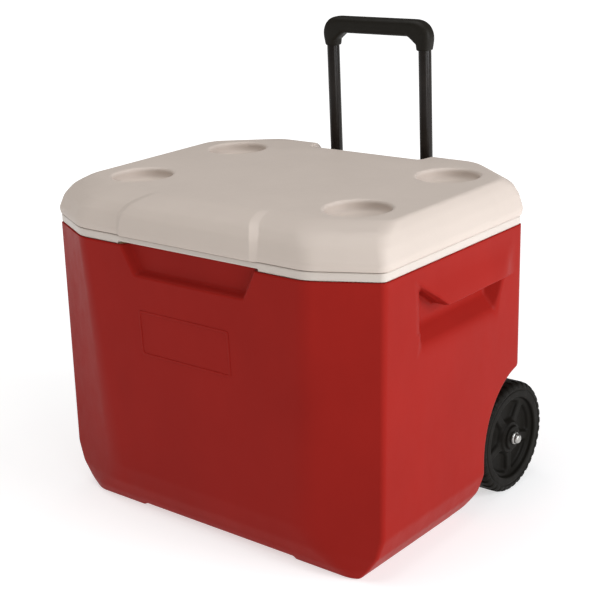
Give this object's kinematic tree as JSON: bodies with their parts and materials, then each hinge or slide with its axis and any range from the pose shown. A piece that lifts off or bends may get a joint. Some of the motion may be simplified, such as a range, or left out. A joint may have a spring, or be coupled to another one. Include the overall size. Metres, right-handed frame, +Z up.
{
  "type": "wheeled cooler",
  "caption": "Insulated chest on wheels with a hinged lid, round cup rests in the lid, moulded end grips and a telescoping pull handle.",
  "frame": {"origin": "on the floor under the middle of the object's box", "axes": "+X to the right end grip, +Y to the back where the handle is, +Z up"},
  "size_m": [0.576, 0.445, 0.6463],
  "materials": {
    "shell_red": "satin moulded polyethylene",
    "lid_white": "fine moulded texture",
    "liner_white": "smooth",
    "foam": "open cut foam, stands in for rigid insulating foam",
    "trim_black": "fine moulded texture",
    "grip_black": "satin moulded",
    "tube_black": "gloss dark coating on tube",
    "wheel_black": "moulded, slightly glossy",
    "axle_steel": "zinc plated",
    "screw_steel": "zinc plated"
  },
  "bodies": {
    "chest": {"body_shell": "shell_red", "insulation_foam": "foam", "inner_liner": "liner_white", "hinge_ear_right": "lid_white", "hinge_ear_left": "lid_white", "hinge_screw_1_right": "screw_steel", "hinge_screw_1_left": "screw_steel", "hinge_screw_2_right": "screw_steel", "hinge_screw_2_left": "screw_steel", "bracket_screw_1": "screw_steel", "bracket_screw_2": "screw_steel", "bracket_screw_3": "screw_steel", "bracket_screw_4": "screw_steel", "handle_sleeve_right": "tube_black", "handle_sleeve_left": "tube_black", "sleeve_collar_right": "trim_black", "sleeve_collar_left": "trim_black", "upper_bracket": "trim_black", "lower_bracket": "trim_black", "axle_bush_right": "trim_black", "axle_bush_left": "trim_black", "axle": "axle_steel", "inner_washer_right": "axle_steel", "inner_washer_left": "axle_steel", "outer_washer_right": "axle_steel", "outer_washer_left": "axle_steel", "push_nut_right": "axle_steel", "push_nut_left": "axle_steel"},
    "lid": {"lid_cover": "lid_white", "lid_foam": "foam", "lid_liner": "liner_white", "hinge_pin_right": "screw_steel", "hinge_pin_left": "screw_steel"},
    "handle": {"handle_grip": "grip_black", "handle_tube_right": "tube_black", "handle_tube_left": "tube_black", "tube_glide_right": "trim_black", "tube_glide_left": "trim_black", "grip_rivet_right": "screw_steel", "grip_rivet_left": "screw_steel"},
    "wheel_right": {"wheel_right": "wheel_black"},
    "wheel_left": {"wheel_left": "wheel_black"}
  },
  "joints": [
    {"name": "lid_hinge", "type": "hinge", "parent": "chest", "child": "lid", "pos_m": [0, 0.177, 0.446], "axis": [-1, 0, 0], "range_deg": [0, 90]},
    {"name": "handle_slide", "type": "slide", "parent": "chest", "child": "handle", "axis": [0, 0, 1], "range_m": [-0.19, 0]},
    {"name": "wheel_right_spin", "type": "hinge", "parent": "chest", "child": "wheel_right", "pos_m": [0.245, 0.1427, 0.0798], "axis": [1, 0, 0], "continuous": true},
    {"name": "wheel_left_spin", "type": "hinge", "parent": "chest", "child": "wheel_left", "pos_m": [-0.245, 0.1427, 0.0798], "axis": [1, 0, 0], "continuous": true}
  ]
}
